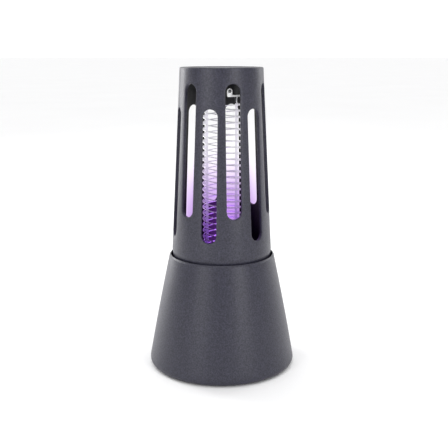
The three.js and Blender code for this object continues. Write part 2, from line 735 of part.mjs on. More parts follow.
export default zapper;
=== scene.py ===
"""Looks of the table-top electric bug zapper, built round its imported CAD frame.

Profiles and sizes are in millimetres and become metres when a mesh is made. The camera, lights and
textures are in metres. +Z is up and the front is -Y.
"""

import math

import bmesh
import bpy
from mathutils import Matrix, Vector


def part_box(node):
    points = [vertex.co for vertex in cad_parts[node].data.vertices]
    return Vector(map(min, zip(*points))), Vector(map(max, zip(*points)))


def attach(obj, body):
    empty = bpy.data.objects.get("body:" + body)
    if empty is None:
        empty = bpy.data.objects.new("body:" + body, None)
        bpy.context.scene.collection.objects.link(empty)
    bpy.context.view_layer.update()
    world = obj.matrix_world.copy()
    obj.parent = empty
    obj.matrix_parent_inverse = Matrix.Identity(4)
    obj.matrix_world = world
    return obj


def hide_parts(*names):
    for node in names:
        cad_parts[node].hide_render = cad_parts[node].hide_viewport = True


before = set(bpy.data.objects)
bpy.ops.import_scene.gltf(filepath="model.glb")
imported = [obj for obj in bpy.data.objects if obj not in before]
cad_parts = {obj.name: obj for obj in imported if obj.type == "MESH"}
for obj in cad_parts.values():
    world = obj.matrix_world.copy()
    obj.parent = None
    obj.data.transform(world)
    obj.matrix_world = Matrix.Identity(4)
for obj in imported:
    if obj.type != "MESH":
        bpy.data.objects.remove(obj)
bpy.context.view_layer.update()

MM = 0.001
TAU = 2 * math.pi

# ---------------------------------------------------------------- sizes, in millimetres

GUARD_LOW, GUARD_HIGH = (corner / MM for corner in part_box("guard_tube"))
BASE_LOW, BASE_HIGH = (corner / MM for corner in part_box("base_shell"))
HUB_LOW, HUB_HIGH = (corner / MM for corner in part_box("grid_top_hub"))
FOOT_HUB_LOW, FOOT_HUB_HIGH = (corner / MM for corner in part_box("grid_bottom_hub"))
WIRE_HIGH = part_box("grid_wire_1")[1] / MM
RIB_LOW, RIB_HIGH = (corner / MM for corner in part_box("grid_rib_right"))
TRAY_LOW, TRAY_HIGH = (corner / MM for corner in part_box("insect_tray"))
FLOOR_LOW, FLOOR_HIGH = (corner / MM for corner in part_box("chamber_floor"))
CAP_LOW, CAP_HIGH = (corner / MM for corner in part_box("top_cap"))

TOP_Z = GUARD_HIGH.z
RIM_Z = BASE_HIGH.z
GUARD_RIM_RADIUS = GUARD_HIGH.x
GUARD_TOP_RADIUS = 27.0
GUARD_WALL = 2.2
GUARD_FOOT_RADIUS = 32.9

SLOT_COUNT = 12
SLOT_RADIUS = 4.9
SLOT_LENGTH = 84.4
LOW_SLOT_Z = 90.4
HIGH_SLOT_Z = 105.8
SLOT_FILLET = 0.45

RIM_RADIUS = 35.1
RIM_INNER_RADIUS = 34.3
CONE_RADIUS = 50.1
CONE_BULGE = 0.4
BASE_WALL = 2.4
BASE_BOTTOM_Z = BASE_LOW.z
BASE_ROUND = 4.2
LIP_HEIGHT = 0.95
# The chamfer along the rim, as steps inwards from its radius and down from its top.
LIP_CHAMFER = [(-0.02, 0.8), (0.1, 0.64), (0.46, 0.18), (0.56, 0.05), (0.66, 0.0)]

GRID_RADIUS = 12.5
WIRE_RADIUS = 0.36
WIRE_PITCH = 8.0
WIRE_TURNS = 12
WIRE_TOP_Z = 177.0
WIRE_TOP_ANGLE = math.radians(-40)
TERMINAL_ANGLE = WIRE_TOP_ANGLE - math.radians(28)
HALF_TURNS = ((1, 0.0), (2, math.pi))
RIB_ANGLES = {"front": -math.pi / 2, "right": 0.0, "back": math.pi / 2, "left": math.pi}
SOCKET_Z = 176.9


def guard_radius(z):
    """Outer radius of the guard tube at a height above the rim."""
    t = (z - RIM_Z) / (TOP_Z - RIM_Z)
    return GUARD_RIM_RADIUS + (GUARD_TOP_RADIUS - GUARD_RIM_RADIUS) * t


def base_radius(z):
    """Outer radius of the conical base at a height."""
    t = (z - BASE_BOTTOM_Z) / (RIM_Z - BASE_BOTTOM_Z)
    return CONE_RADIUS + (RIM_RADIUS - CONE_RADIUS) * t + 4 * CONE_BULGE * t * (1 - t)


# ---------------------------------------------------------------- camera, floor and light

# The camera's place in metres, its angles in degrees, and its lens and sensor in millimetres.
CAMERA_PLACE = (0, -0.498, 0.2094)
CAMERA_DIP = 12.79
CAMERA_TURN = -0.18
LENS = 60.9
SENSOR_WIDTH = 36

FLOOR_REACH = 30.0

# Strengths of the white surroundings, and the spans of the view direction's Y or Z over which they fade.
WORLD_FRONT = 0.26
WORLD_BACK = 1.2
WORLD_TOP = 1.3
WORLD_HORIZON = 1.0
BACK_FADE = (0.1, 0.95)
HORIZON_FADE = (0.16, 0.12)
TOP_FADE = (0.5, 1.0)

# Each soft light's name, place, width and height in metres, and power in watts.
SOFTBOXES = [
    ("front_right", (0.72, -0.95, 0.5), (0.3, 0.9), 4.5),
    ("front_left", (-0.72, -0.95, 0.5), (0.4, 0.9), 3.8),
    ("left_rim", (-0.95, 0.75, 0.4), (0.4, 1.0), 8.5),
    ("right_rim", (1.0, 0.8, 0.5), (0.3, 1.0), 3),
]
TERMINAL_LIGHT = ("grid_fill", (0.25, -0.95, 0.4), (0.5, 0.5), 7)
LIGHT_AIM = Vector((0, 0, 0.1))


def make_camera():
    """A camera in front of the object that looks slightly down on it."""
    data = bpy.data.cameras.new("camera")
    data.lens = LENS
    data.sensor_width = SENSOR_WIDTH
    camera = bpy.data.objects.new("camera", data)
    camera.location = CAMERA_PLACE
    camera.rotation_euler = (math.radians(90 - CAMERA_DIP), 0, math.radians(CAMERA_TURN))
    bpy.context.collection.objects.link(camera)
    bpy.context.scene.camera = camera


def make_floor():
    """A wide pale floor, which meets the white surroundings far off."""
    reach = FLOOR_REACH
    mesh = bpy.data.meshes.new("floor")
    corners = [(-reach, -reach, 0), (reach, -reach, 0), (reach, reach, 0), (-reach, reach, 0)]
    mesh.from_pydata(corners, [], [(0, 1, 2, 3)])
    floor = bpy.data.objects.new("floor", mesh)
    bpy.context.collection.objects.link(floor)
    floor.data.materials.append(pale_floor())


def softbox(name, location, size, energy):
    """An area light that looks at the middle of the object."""
    data = bpy.data.lights.new(name, "AREA")
    data.shape = "RECTANGLE"
    data.size, data.size_y = size
    data.energy = energy
    light = bpy.data.objects.new(name, data)
    light.location = location
    aim = LIGHT_AIM - Vector(location)
    light.rotation_euler = aim.to_track_quat("-Z", "Y").to_euler()
    bpy.context.collection.objects.link(light)
    return light


def map_range(tree, source, from_low, from_high, to_low, to_high):
    """A value carried smoothly from one span to another."""
    node = tree.nodes.new("ShaderNodeMapRange")
    node.interpolation_type = "SMOOTHSTEP"
    node.inputs["From Min"].default_value = from_low
    node.inputs["From Max"].default_value = from_high
    node.inputs["To Min"].default_value = to_low
    node.inputs["To Max"].default_value = to_high
    tree.links.new(source, node.inputs["Value"])
    return node.outputs["Result"]


def combine(tree, operation, first, second):
    """The sum, product or larger of two values."""
    node = tree.nodes.new("ShaderNodeMath")
    node.operation = operation
    tree.links.new(first, node.inputs[0])
    tree.links.new(second, node.inputs[1])
    return node.outputs["Value"]


def coordinates(tree, kind):
    """The X, Y and Z of a texture coordinate as separate outputs."""
    place = tree.nodes.new("ShaderNodeTexCoord")
    split = tree.nodes.new("ShaderNodeSeparateXYZ")
    tree.links.new(place.outputs[kind], split.inputs["Vector"])
    return split.outputs


def make_world():
    """White surroundings: dim on the camera's side, bright behind, overhead and at the horizon."""
    world = bpy.data.worlds.new("studio")
    world.use_nodes = True
    tree = world.node_tree
    direction = coordinates(tree, "Generated")
    behind = map_range(tree, direction["Y"], *BACK_FADE, WORLD_FRONT, WORLD_BACK)
    horizon = map_range(tree, direction["Z"], *HORIZON_FADE, 0.0, WORLD_HORIZON)
    overhead = map_range(tree, direction["Z"], *TOP_FADE, 0.0, WORLD_TOP)
    around = combine(tree, "MAXIMUM", behind, horizon)
    background = tree.nodes["Background"]
    background.inputs["Color"].default_value = (1, 1, 1, 1)
    tree.links.new(combine(tree, "ADD", around, overhead), background.inputs["Strength"])
    bpy.context.scene.world = world
    bpy.context.scene.view_settings.view_transform = "Standard"


def make_lights():
    """The surroundings and the soft lights that draw the two long stripes and the bright edges."""
    make_world()
    for light in SOFTBOXES:
        softbox(*light)


# ---------------------------------------------------------------- materials

# Each plastic's dark and light colour, roughness, grain in repeats per metre, and relief in metres.
PLASTICS = {
    "charcoal_plastic": ((0.011, 0.011, 0.021), (0.036, 0.035, 0.059), 0.40, 1100.0, 0.00008),
    # The guard's inner faces: the same plastic painted darker, as painted shade.
    "guard_inside_painted_shade": ((0.006, 0.006, 0.008), (0.011, 0.011, 0.014), 0.6, 1500.0, 0.00004),
    "black_plastic": ((0.008, 0.008, 0.010), (0.016, 0.016, 0.020), 0.45, 2200.0, 0.00002),
    "tray_plastic": ((0.020, 0.020, 0.024), (0.034, 0.034, 0.040), 0.5, 1800.0, 0.00003),
    "rubber": ((0.010, 0.010, 0.010), (0.022, 0.022, 0.022), 0.82, 1200.0, 0.00004),
    "cell_wrap": ((0.03, 0.14, 0.40), (0.05, 0.20, 0.50), 0.3, 300.0, 0.00002),
    "transformer_winding": ((0.42, 0.26, 0.04), (0.62, 0.42, 0.08), 0.35, 900.0, 0.0001),
    "capacitor_coat": ((0.02, 0.07, 0.24), (0.05, 0.12, 0.36), 0.28, 500.0, 0.00003),
    "red_insulation": ((0.36, 0.015, 0.015), (0.50, 0.03, 0.03), 0.4, 700.0, 0.00002),
}
GRAIN_GLOSS = 0.06

# Each metal's colour, roughness and metallic share. A dull tinned surface is less than fully metallic.
METALS = {
    "grid_steel": ((0.90, 0.90, 0.93), 0.42, 0.6),
    "tinned_steel": ((0.95, 0.95, 0.96), 0.45, 0.3),
    "screw_steel": ((0.45, 0.45, 0.47), 0.35, 1.0),
    "shield_steel": ((0.62, 0.62, 0.64), 0.3, 1.0),
}
DRAWING_MARKS = 900.0

# Painted glow of the pale ribs, which are no lamp, from the lower of two heights in metres to the upper.
PAINTED_GLOW_SPAN = (0.08, 0.15)
PAINTED_RIB_GLOW = [(0.0, (0.08, 0.04, 0.15)), (0.4, (0.25, 0.22, 0.31)), (1.0, (0.30, 0.29, 0.31))]


def new_material(name):
    """A material with only a Principled shader, which is returned with its node tree."""
    material = bpy.data.materials.new(name)
    material.use_nodes = True
    tree = material.node_tree
    return material, tree, tree.nodes["Principled BSDF"]


def add_node(tree, kind, **inputs):
    """A node with some of its inputs set."""
    node = tree.nodes.new(kind)
    for key, value in inputs.items():
        node.inputs[key.replace("_", " ")].default_value = value
    return node


def noise(tree, scale, detail=2.0, roughness=0.5):
    """Noise in object space, with scale as repeats per metre."""
    place = tree.nodes.new("ShaderNodeTexCoord")
    texture = add_node(tree, "ShaderNodeTexNoise", Scale=scale, Detail=detail, Roughness=roughness)
    tree.links.new(place.outputs["Object"], texture.inputs["Vector"])
    return texture.outputs["Fac"]


def ramp(tree, source, stops):
    """A colour ramp over a value, from (position, colour) stops."""
    node = tree.nodes.new("ShaderNodeValToRGB")
    elements = node.color_ramp.elements
    elements[0].position, elements[0].color = stops[0][0], (*stops[0][1], 1)
    elements[1].position, elements[1].color = stops[-1][0], (*stops[-1][1], 1)
    for position, color in stops[1:-1]:
        elements.new(position).color = (*color, 1)
    tree.links.new(source, node.inputs["Fac"])
    return node.outputs["Color"]


def bump(tree, shader, height, distance):
    """Relief of a height texture, with its depth in metres."""
    node = add_node(tree, "ShaderNodeBump", Strength=1.0, Distance=distance)
    tree.links.new(height, node.inputs["Height"])
    tree.links.new(node.outputs["Normal"], shader.inputs["Normal"])


def gloss_range(tree, shader, source, roughest, glossiest):
    """Roughness that follows a texture, from its low values to its high ones."""
    gloss = add_node(tree, "ShaderNodeMapRange", To_Min=roughest, To_Max=glossiest)
    tree.links.new(source, gloss.inputs["Value"])
    tree.links.new(gloss.outputs["Result"], shader.inputs["Roughness"])


def grained_plastic(name, dark, light, roughness, grain, depth):
    """Moulded plastic with a fine grain, which its colour, roughness and relief all follow."""
    material, tree, shader = new_material(name)
    fine = noise(tree, grain, 3.0, 0.6)
    color = ramp(tree, fine, [(0.36, dark), (0.66, light)])
    tree.links.new(color, shader.inputs["Base Color"])
    gloss_range(tree, shader, fine, roughness + GRAIN_GLOSS, roughness - GRAIN_GLOSS)
    bump(tree, shader, fine, depth)
    return material


def metal(name, color, roughness, metallic):
    """Bright metal with faint drawing marks."""
    material, tree, shader = new_material(name)
    shader.inputs["Metallic"].default_value = metallic
    marks = noise(tree, DRAWING_MARKS, 2.0)
    dark = tuple(c * 0.82 for c in color)
    tree.links.new(ramp(tree, marks, [(0.3, dark), (0.7, color)]), shader.inputs["Base Color"])
    gloss_range(tree, shader, marks, roughness * 0.8, roughness * 1.3)
    return material


def milky_plastic():
    """Translucent pale plastic with a painted glow, though it is no lamp: violet low down, pale higher
    up.
    """
    material, tree, shader = new_material("milky_plastic")
    cloud = noise(tree, 260.0, 3.0)
    color = ramp(tree, cloud, [(0.3, (0.50, 0.49, 0.54)), (0.7, (0.58, 0.57, 0.62))])
    tree.links.new(color, shader.inputs["Base Color"])
    shader.inputs["Roughness"].default_value = 0.32
    shader.inputs["Transmission Weight"].default_value = 0.3
    # Painted glow: emission by height, violet low down and pale higher up.
    height = map_range(tree, coordinates(tree, "Object")["Z"], *PAINTED_GLOW_SPAN, 0.0, 1.0)
    tree.links.new(ramp(tree, height, PAINTED_RIB_GLOW), shader.inputs["Emission Color"])
    shader.inputs["Emission Strength"].default_value = 1.0
    bump(tree, shader, cloud, 0.00003)
    return material


def clear_plastic():
    """Clear plastic with a slight haze."""
    material, tree, shader = new_material("clear_plastic")
    haze = noise(tree, 400.0, 2.0)
    color = ramp(tree, haze, [(0.3, (0.88, 0.86, 0.95)), (0.7, (0.97, 0.96, 1.0))])
    tree.links.new(color, shader.inputs["Base Color"])
    shader.inputs["Roughness"].default_value = 0.12
    shader.inputs["Transmission Weight"].default_value = 0.9
    return material


def lit_led():
    """The face of a lit LED: a violet glow with a soft mottle."""
    material, tree, shader = new_material("uv_led")
    glow = noise(tree, 700.0, 1.0)
    color = ramp(tree, glow, [(0.3, (0.24, 0.05, 0.9)), (0.7, (0.45, 0.22, 1.0))])
    tree.links.new(color, shader.inputs["Base Color"])
    tree.links.new(color, shader.inputs["Emission Color"])
    shader.inputs["Emission Strength"].default_value = 12.0
    shader.inputs["Roughness"].default_value = 0.3
    return material


def circuit_board():
    """Green solder mask over copper tracks."""
    material, tree, shader = new_material("circuit_board")
    place = tree.nodes.new("ShaderNodeTexCoord")
    tracks = add_node(tree, "ShaderNodeTexVoronoi", Scale=420.0)
    tracks.distance = "CHEBYCHEV"
    tree.links.new(place.outputs["Object"], tracks.inputs["Vector"])
    stops = [(0.25, (0.01, 0.10, 0.035)), (0.5, (0.02, 0.20, 0.07))]
    tree.links.new(ramp(tree, tracks.outputs["Distance"], stops), shader.inputs["Base Color"])
    shader.inputs["Roughness"].default_value = 0.28
    bump(tree, shader, tracks.outputs["Distance"], 0.00004)
    return material


def pale_floor():
    """A matt, nearly white surface."""
    material, tree, shader = new_material("pale_floor")
    mottle = noise(tree, 3.0, 2.0)
    color = ramp(tree, mottle, [(0.3, (0.94, 0.94, 0.945)), (0.7, (0.96, 0.96, 0.965))])
    tree.links.new(color, shader.inputs["Base Color"])
    shader.inputs["Roughness"].default_value = 0.8
    return material


# ---------------------------------------------------------------- mesh helpers

MERGE_DISTANCE = 1e-5
SHORTEST_EDGE = 1e-6
SMALLEST_ROUND = 1e-4
SEAM_DISTANCE = 1e-3


def finish_piece(name, mesh, material, body, sharp=35):
    """Turns a mesh in millimetres into a piece in metres that rides on a body."""
    mesh.transform(Matrix.Scale(MM, 4))
    mesh.shade_smooth()
    mesh.set_sharp_from_angle(angle=math.radians(sharp))
    piece = bpy.data.objects.new(name, mesh)
    bpy.context.collection.objects.link(piece)
    piece.data.materials.append(material)
    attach(piece, body)
    return piece


def welded(mesh):
    """Joins the vertices along a mesh's seams and turns every face outwards."""
    bm = bmesh.new()
    bm.from_mesh(mesh)
    bmesh.ops.remove_doubles(bm, verts=bm.verts, dist=SEAM_DISTANCE)
    bmesh.ops.recalc_face_normals(bm, faces=bm.faces)
    bm.to_mesh(mesh)
    bm.free()
    return mesh


def rounded_profile(points, radius, steps=4, closed=True):
    """A [radius, z] outline with each corner replaced by an arc-like curve of about that radius."""
    rounded = []
    count = len(points)
    for i, point in enumerate(points):
        here = Vector(point)
        ends_open = not closed and i in (0, count - 1)
        before = Vector(points[i - 1])
        after = Vector(points[(i + 1) % count])
        reach = min(radius, 0.45 * (here - before).length, 0.45 * (after - here).length)
        on_axis = here.x < SHORTEST_EDGE
        if ends_open or on_axis or reach < SMALLEST_ROUND:
            rounded.append(tuple(here))
            continue
        start = here + (before - here).normalized() * reach
        end = here + (after - here).normalized() * reach
        for k in range(steps + 1):
            t = k / steps
            rounded.append(tuple((1 - t) ** 2 * start + 2 * t * (1 - t) * here + t * t * end))
    return rounded


def stitch(faces, first, rows, count, closed=False):
    """Adds the quads between rings of vertices that follow each other in a mesh's list."""
    for row in range(rows if closed else rows - 1):
        low, high = first + row * count, first + (row + 1) % rows * count
        for i in range(count):
            k = (i + 1) % count
            faces.append((low + i, low + k, high + k, high + i))


def lathe_mesh(name, profile, segments=160, closed=True, matrix=None):
    """A [radius, z] outline turned about Z. An outline that isn't closed starts and ends on the axis."""
    verts, faces = [], []
    for radius, z in profile:
        for j in range(segments):
            angle = j / segments * TAU
            verts.append((radius * math.cos(angle), radius * math.sin(angle), z))
    stitch(faces, 0, len(profile), segments, closed)
    mesh = bpy.data.meshes.new(name)
    mesh.from_pydata(verts, [], faces)
    bm = bmesh.new()
    bm.from_mesh(mesh)
    bmesh.ops.remove_doubles(bm, verts=bm.verts, dist=MERGE_DISTANCE)
    bmesh.ops.dissolve_degenerate(bm, edges=bm.edges, dist=SHORTEST_EDGE)
    bmesh.ops.recalc_face_normals(bm, faces=bm.faces)
    bm.to_mesh(mesh)
    bm.free()
    if matrix is not None:
        mesh.transform(matrix)
    return mesh


def prism_mesh(name, outline, depth, matrix=None):
    """A flat outline in X and Y with a thickness along Z, from 0 to depth."""
    count = len(outline)
    verts = [(x, y, z) for z in (0, depth) for x, y in outline]
    faces = [range(count), range(count, 2 * count)]
    stitch(faces, 0, 2, count)
    mesh = bpy.data.meshes.new(name)
    mesh.from_pydata(verts, [], faces)
    bm = bmesh.new()
    bm.from_mesh(mesh)
    bmesh.ops.recalc_face_normals(bm, faces=bm.faces)
    bm.to_mesh(mesh)
    bm.free()
    if matrix is not None:
        mesh.transform(matrix)
    return mesh


def add_bevel(piece, width, segments=2, angle=40):
    """Rounds a piece's sharp edges, with the width in millimetres."""
    bevel = piece.modifiers.new("edge", "BEVEL")
    bevel.width = width * MM
    bevel.segments = segments
    bevel.limit_method = "ANGLE"
    bevel.angle_limit = math.radians(angle)
    bevel.harden_normals = True


def cut_out(piece, cutter_mesh):
    """Takes the space of a cutter, whose mesh is in millimetres, out of a piece."""
    cutter_mesh.transform(Matrix.Scale(MM, 4))
    cutter = bpy.data.objects.new("cutter", cutter_mesh)
    bpy.context.collection.objects.link(cutter)
    modifier = piece.modifiers.new("cut", "BOOLEAN")
    modifier.operation = "DIFFERENCE"
    modifier.solver = "EXACT"
    modifier.object = cutter
    with bpy.context.temp_override(object=piece, active_object=piece):
        bpy.ops.object.modifier_apply(modifier=modifier.name)
    bpy.data.objects.remove(cutter)


def arc_points(x, y, radius, start, end, steps):
    """Points along an arc round a centre, both ends included."""
    points = []
    for i in range(steps + 1):
        angle = start + (end - start) * i / steps
        points.append((x + radius * math.cos(angle), y + radius * math.sin(angle)))
    return points


def rounded_rectangle(width, height, radius, steps=6):
    """The outline of a rectangle with round corners, centred on the origin."""
    x, y = width / 2 - radius, height / 2 - radius
    corners = [(x, y, 0), (-x, y, 0.25), (-x, -y, 0.5), (x, -y, 0.75)]
    outline = []
    for cx, cy, turn in corners:
        outline += arc_points(cx, cy, radius, turn * TAU, (turn + 0.25) * TAU, steps)
    return outline


# ---------------------------------------------------------------- guard

WEB_LOW_Z = 82.0
WEB_HIGH_Z = 194.0
CELL_COLUMNS = 8
HALF_CELL = math.pi / SLOT_COUNT
# Heights of the rows between the slots: close together where the slots' round ends lie.
WEB_ROWS = (
    [WEB_LOW_Z + 1.4 * i for i in range(21)]
    + [116.0 + 5.0 * i for i in range(10)]
    + [166.0 + 1.4 * i for i in range(20)]
    + [WEB_HIGH_Z]
)
COLUMN_ANGLES = [
    math.asin((2 * i / CELL_COLUMNS - 1) * math.sin(HALF_CELL)) for i in range(CELL_COLUMNS + 1)
]
CAP_SEAT_DEPTH = 2.4
CAP_LEDGE = 1.8
CAP_LEDGE_HEIGHT = 1.2
GUARD_EDGE_ROUND = 0.9


def cell_border():
    """The border of one slot's cell, anticlockwise from its lower left, as (angle, height) pairs."""
    border = [(angle, WEB_LOW_Z) for angle in COLUMN_ANGLES[:-1]]
    border += [(HALF_CELL, z) for z in WEB_ROWS[:-1]]
    border += [(angle, WEB_HIGH_Z) for angle in reversed(COLUMN_ANGLES[1:])]
    border += [(-HALF_CELL, z) for z in reversed(WEB_ROWS[1:])]
    return border


def slot_point(border_angle, z, low_centre, high_centre, offset):
    """The point of a slot's outline, grown by an offset, that faces a point of its cell's border."""
    radius = SLOT_RADIUS + offset
    side = guard_radius(z) * math.sin(border_angle)
    if low_centre <= z <= high_centre:
        return math.copysign(radius, side), z
    centre = low_centre if z < low_centre else high_centre
    angle = math.atan2(z - centre, side)
    return radius * math.cos(angle), centre + radius * math.sin(angle)


def guard_cell(index, verts, faces):
    """One slot with the wall round it: outer skin, rounded slot edge, slot wall and inner skin."""
    middle = (index + 0.5) * 2 * HALF_CELL
    outward = Vector((math.sin(middle), -math.cos(middle), 0))
    sideways = Vector((math.cos(middle), math.sin(middle), 0))
    slot_z = (HIGH_SLOT_Z if index % 2 == 0 else LOW_SLOT_Z) + SLOT_RADIUS
    slot_top = slot_z + SLOT_LENGTH - 2 * SLOT_RADIUS
    border = cell_border()

    def place(side, z, depth):
        radius = guard_radius(z) - depth
        return outward * math.sqrt(radius * radius - side * side) + sideways * side + Vector((0, 0, z))

    def border_ring(depth):
        return [place((guard_radius(z) - depth) * math.sin(a), z, depth) for a, z in border]

    def slot_ring(offset, depth):
        return [place(*slot_point(a, z, slot_z, slot_top, offset), depth) for a, z in border]

    def between(ring_a, ring_b, t, depth):
        ring = []
        for a, b in zip(ring_a, ring_b):
            point = a.lerp(b, t)
            flat = Vector((point.x, point.y, 0)).normalized() * (guard_radius(point.z) - depth)
            ring.append(Vector((flat.x, flat.y, point.z)))
        return ring

    fillet = [i / 4 * math.pi / 2 for i in range(5)]
    outer_edge = [(SLOT_FILLET * (1 - math.sin(a)), SLOT_FILLET * (1 - math.cos(a))) for a in fillet]
    inner_edge = [(offset, GUARD_WALL - depth) for offset, depth in reversed(outer_edge)]
    rings = [border_ring(0)]
    rings.append(between(rings[0], slot_ring(SLOT_FILLET, 0), 0.5, 0))
    rings += [slot_ring(*edge) for edge in outer_edge + inner_edge]
    inside = border_ring(GUARD_WALL)
    rings.append(between(rings[-1], inside, 0.5, GUARD_WALL))
    rings.append(inside)

    first = len(verts)
    for ring in rings:
        verts.extend(ring)
    stitch(faces, first, len(rings), len(border))


def guard_band(profile, verts, faces):
    """A plain band of the guard, above or below the slots, on the cells' own columns."""
    angles = []
    for index in range(SLOT_COUNT):
        middle = (index + 0.5) * 2 * HALF_CELL
        angles += [middle + angle for angle in COLUMN_ANGLES[:-1]]
    first = len(verts)
    for radius, z in profile:
        verts.extend(Vector((radius * math.sin(a), -radius * math.cos(a), z)) for a in angles)
    stitch(faces, first, len(profile), len(angles))


def web_edge(z):
    """The [radius, z] points of the outer and inner skin at a height."""
    return (guard_radius(z), z), (guard_radius(z) - GUARD_WALL, z)


def guard_head():
    """The outline above the slots: up the outside, over the top and down past the lid's seat."""
    outer, inner = web_edge(WEB_HIGH_Z)
    seat = TOP_Z - CAP_SEAT_DEPTH
    bore = GUARD_TOP_RADIUS - GUARD_WALL
    ledge = bore - CAP_LEDGE
    corners = [
        (GUARD_TOP_RADIUS + 0.02, TOP_Z), (bore, TOP_Z), (bore, seat),
        (ledge, seat), (ledge, seat - CAP_LEDGE_HEIGHT),
    ]
    return rounded_profile([outer, *corners, inner], GUARD_EDGE_ROUND, closed=False)


def guard_foot():
    """The outline below the slots: down the inside, round the foot in the base and up the outside."""
    outer, inner = web_edge(WEB_LOW_Z)
    foot_inner = GUARD_FOOT_RADIUS - GUARD_WALL
    shoulder = RIM_Z + 3.2
    corners = [
        (GUARD_RIM_RADIUS - GUARD_WALL, RIM_Z), (foot_inner, RIM_Z - 4), (foot_inner, GUARD_LOW.z),
        (GUARD_FOOT_RADIUS, GUARD_LOW.z), (GUARD_FOOT_RADIUS - 0.1, RIM_Z - 0.5),
        (guard_radius(shoulder), shoulder),
    ]
    return rounded_profile([inner, *corners, outer], GUARD_EDGE_ROUND, closed=False)


def make_guard(material, inside):
    """The slotted tube, with painted shade: a darker copy of its plastic on the faces that look inwards.
    """
    verts, faces = [], []
    for index in range(SLOT_COUNT):
        guard_cell(index, verts, faces)
    guard_band(guard_head(), verts, faces)
    guard_band(guard_foot(), verts, faces)
    mesh = bpy.data.meshes.new("guard_tube_shell")
    mesh.from_pydata(verts, [], faces)
    guard = finish_piece("guard_tube_shell", welded(mesh), material, "guard", sharp=50)
    # Painted shade: the faces that look inwards get the darker copy of the plastic.
    guard.data.materials.append(inside)
    for face in guard.data.polygons:
        outward = Vector((face.center.x, face.center.y, 0)).normalized()
        face.material_index = 1 if face.normal.dot(outward) < -0.5 else 0
    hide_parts("guard_tube")


def make_cap(material):
    """The flat lid let into the top of the tube, with a shallow raised border and a collar below."""
    lid = CAP_HIGH.x
    under = TOP_Z - 2.1
    collar = lid - 2.1
    collar_bore = collar - 1.5
    border = lid - 2.2
    profile = rounded_profile([
        (0, under), (collar_bore, under), (collar_bore, CAP_LOW.z), (collar, CAP_LOW.z),
        (collar, under), (lid, under), (lid, TOP_Z - 0.15), (border, TOP_Z - 0.02),
        (border - 0.4, TOP_Z - 0.5), (0, TOP_Z - 0.45),
    ], 0.35, closed=False)
    mesh = lathe_mesh("top_cap_lid", profile, closed=False)
    cap = finish_piece("top_cap_lid", mesh, material, "guard")
    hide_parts("top_cap")


# ---------------------------------------------------------------- grid

WIRE_STEPS = 48
WIRE_BEND = 1.8
NOTCH_RADIUS = WIRE_RADIUS + 0.1
RIB_SADDLE = 0.62
RIB_WAIST = RIB_LOW.x + 1.7
RIB_STEP = 0.4

CLIP_INNER = HUB_HIGH.x + 0.15
CLIP_THICKNESS = 0.6
CLIP_HEIGHT = 1.2
CLIP_SPAN = math.radians(54)
EYELET_LEAD = 0.1
EYELET_RADIUS = 1.8
EYELET_HOLE = 1.1
EYELET_SIDES = 28


def wire_path(top_angle):
    """Points of one wire: a coil that climbs clockwise, a short bend, and a straight rise to its clip."""
    points = []
    bend = WIRE_BEND / GRID_RADIUS
    count = WIRE_TURNS * WIRE_STEPS
    for i in range(count + 1):
        back = (count - i) / WIRE_STEPS
        points.append((GRID_RADIUS, top_angle + back * TAU + bend, WIRE_TOP_Z - back * WIRE_PITCH))
    for i in range(1, 7):
        turn = i / 6 * math.pi / 2
        rise = WIRE_BEND * (1 - math.cos(turn))
        points.append((GRID_RADIUS, top_angle + bend * (1 - math.sin(turn)), WIRE_TOP_Z + rise))
    points.append((GRID_RADIUS + 0.1, top_angle, WIRE_TOP_Z + 3.4))
    points.append((GRID_RADIUS + 0.5, top_angle, WIRE_HIGH.z))
    return [(r * math.cos(a), r * math.sin(a), z) for r, a, z in points]


def curve_piece(name, points, radius, material, body, sides=3):
    """A round wire through a list of points, as a mesh."""
    data = bpy.data.curves.new(name, "CURVE")
    data.dimensions = "3D"
    spline = data.splines.new("POLY")
    spline.points.add(len(points) - 1)
    for slot, point in zip(spline.points, points):
        slot.co = (*(Vector(point) * MM), 1)
    data.bevel_depth = radius * MM
    data.bevel_resolution = sides
    data.use_fill_caps = True
    curve = bpy.data.objects.new("temporary", data)
    bpy.context.collection.objects.link(curve)
    mesh = bpy.data.meshes.new_from_object(curve.evaluated_get(bpy.context.evaluated_depsgraph_get()))
    bpy.data.objects.remove(curve)
    mesh.transform(Matrix.Scale(1 / MM, 4))
    return finish_piece(name, mesh, material, body, sharp=60)


def notch_heights(rib_angle):
    """Heights at which the two wires pass a rib."""
    turn = ((rib_angle - WIRE_TOP_ANGLE) % math.pi) / math.pi
    half_pitch = WIRE_PITCH / 2
    passes = 2 * WIRE_TURNS
    heights = [WIRE_TOP_Z - half_pitch * (turn + m) for m in range(passes + 1) if m + turn < passes + 0.5]
    return sorted(heights)


def make_rib(side, angle, material):
    """A flat rib on edge: a notched saddle for each wire, and a deep scallop between saddles."""
    inner, outer = RIB_LOW.x, RIB_HIGH.x
    shoulder = RIB_WAIST + RIB_STEP
    outline = [(inner, RIB_LOW.z), (RIB_WAIST, RIB_LOW.z)]
    for z in notch_heights(angle):
        low, high = z - RIB_SADDLE, z + RIB_SADDLE
        if high > SOCKET_Z:
            continue
        outline += [(RIB_WAIST, low - RIB_STEP), (shoulder, low), (outer, low)]
        outline += arc_points(GRID_RADIUS, z, NOTCH_RADIUS, -math.pi / 2, -1.5 * math.pi, 6)
        outline += [(outer, high), (shoulder, high), (RIB_WAIST, high + RIB_STEP)]
    outline += [(RIB_WAIST, SOCKET_Z + 0.3), (inner, SOCKET_Z + 0.3)]
    thickness = RIB_HIGH.y - RIB_LOW.y
    stand = Matrix.Rotation(angle, 4, "Z") @ Matrix.Rotation(math.pi / 2, 4, "X")
    stand = stand @ Matrix.Translation((0, 0, -thickness / 2))
    mesh = prism_mesh(f"rib_{side}", outline, thickness, stand)
    rib = finish_piece(f"rib_{side}", mesh, material, "base")
    add_bevel(rib, 0.12)
    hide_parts(f"grid_rib_{side}")


